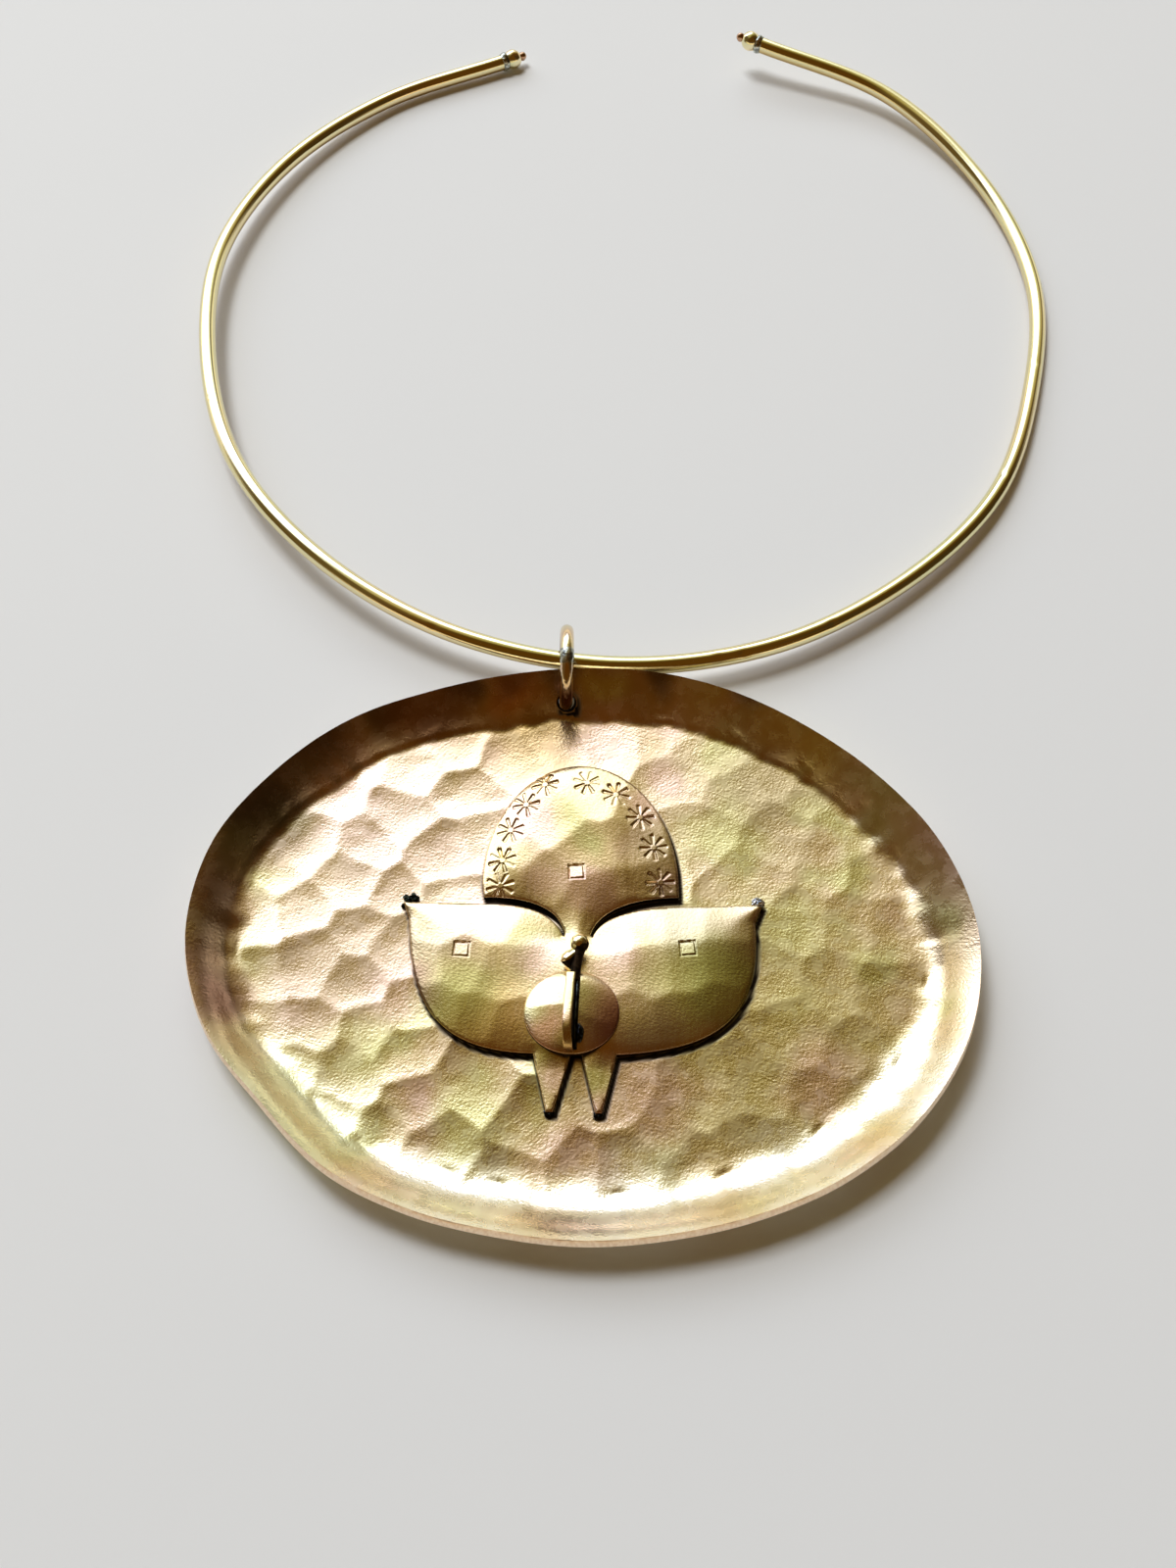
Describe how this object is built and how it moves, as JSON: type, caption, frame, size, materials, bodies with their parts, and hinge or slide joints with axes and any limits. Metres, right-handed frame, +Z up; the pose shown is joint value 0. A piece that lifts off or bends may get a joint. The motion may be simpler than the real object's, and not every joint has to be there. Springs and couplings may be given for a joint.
{
  "type": "brass plate choker",
  "caption": "Stiff open neck wire with a jump ring that carries an oval hammered dish plate, with a domed sheet peacock soldered on its face.",
  "frame": {"origin": "middle of the plate's flat back, on the surface that the choker lies on", "axes": "+Z up out of the plate's face, +Y from the plate to the open back of the neck wire, +X to the right seen from the face"},
  "size_m": [0.1367, 0.2126, 0.0119],
  "materials": {
    "polished_brass": "polished pale brass with fine wear and a few nicks",
    "dark_brass": "heat-darkened brass, brown",
    "satin_brass": "hammered, satin, with rosy and green tarnish"
  },
  "bodies": {
    "root": {"neck_wire": "polished_brass", "jump_ring": "dark_brass", "plate_with_bird": "satin_brass"}
  },
  "joints": []
}
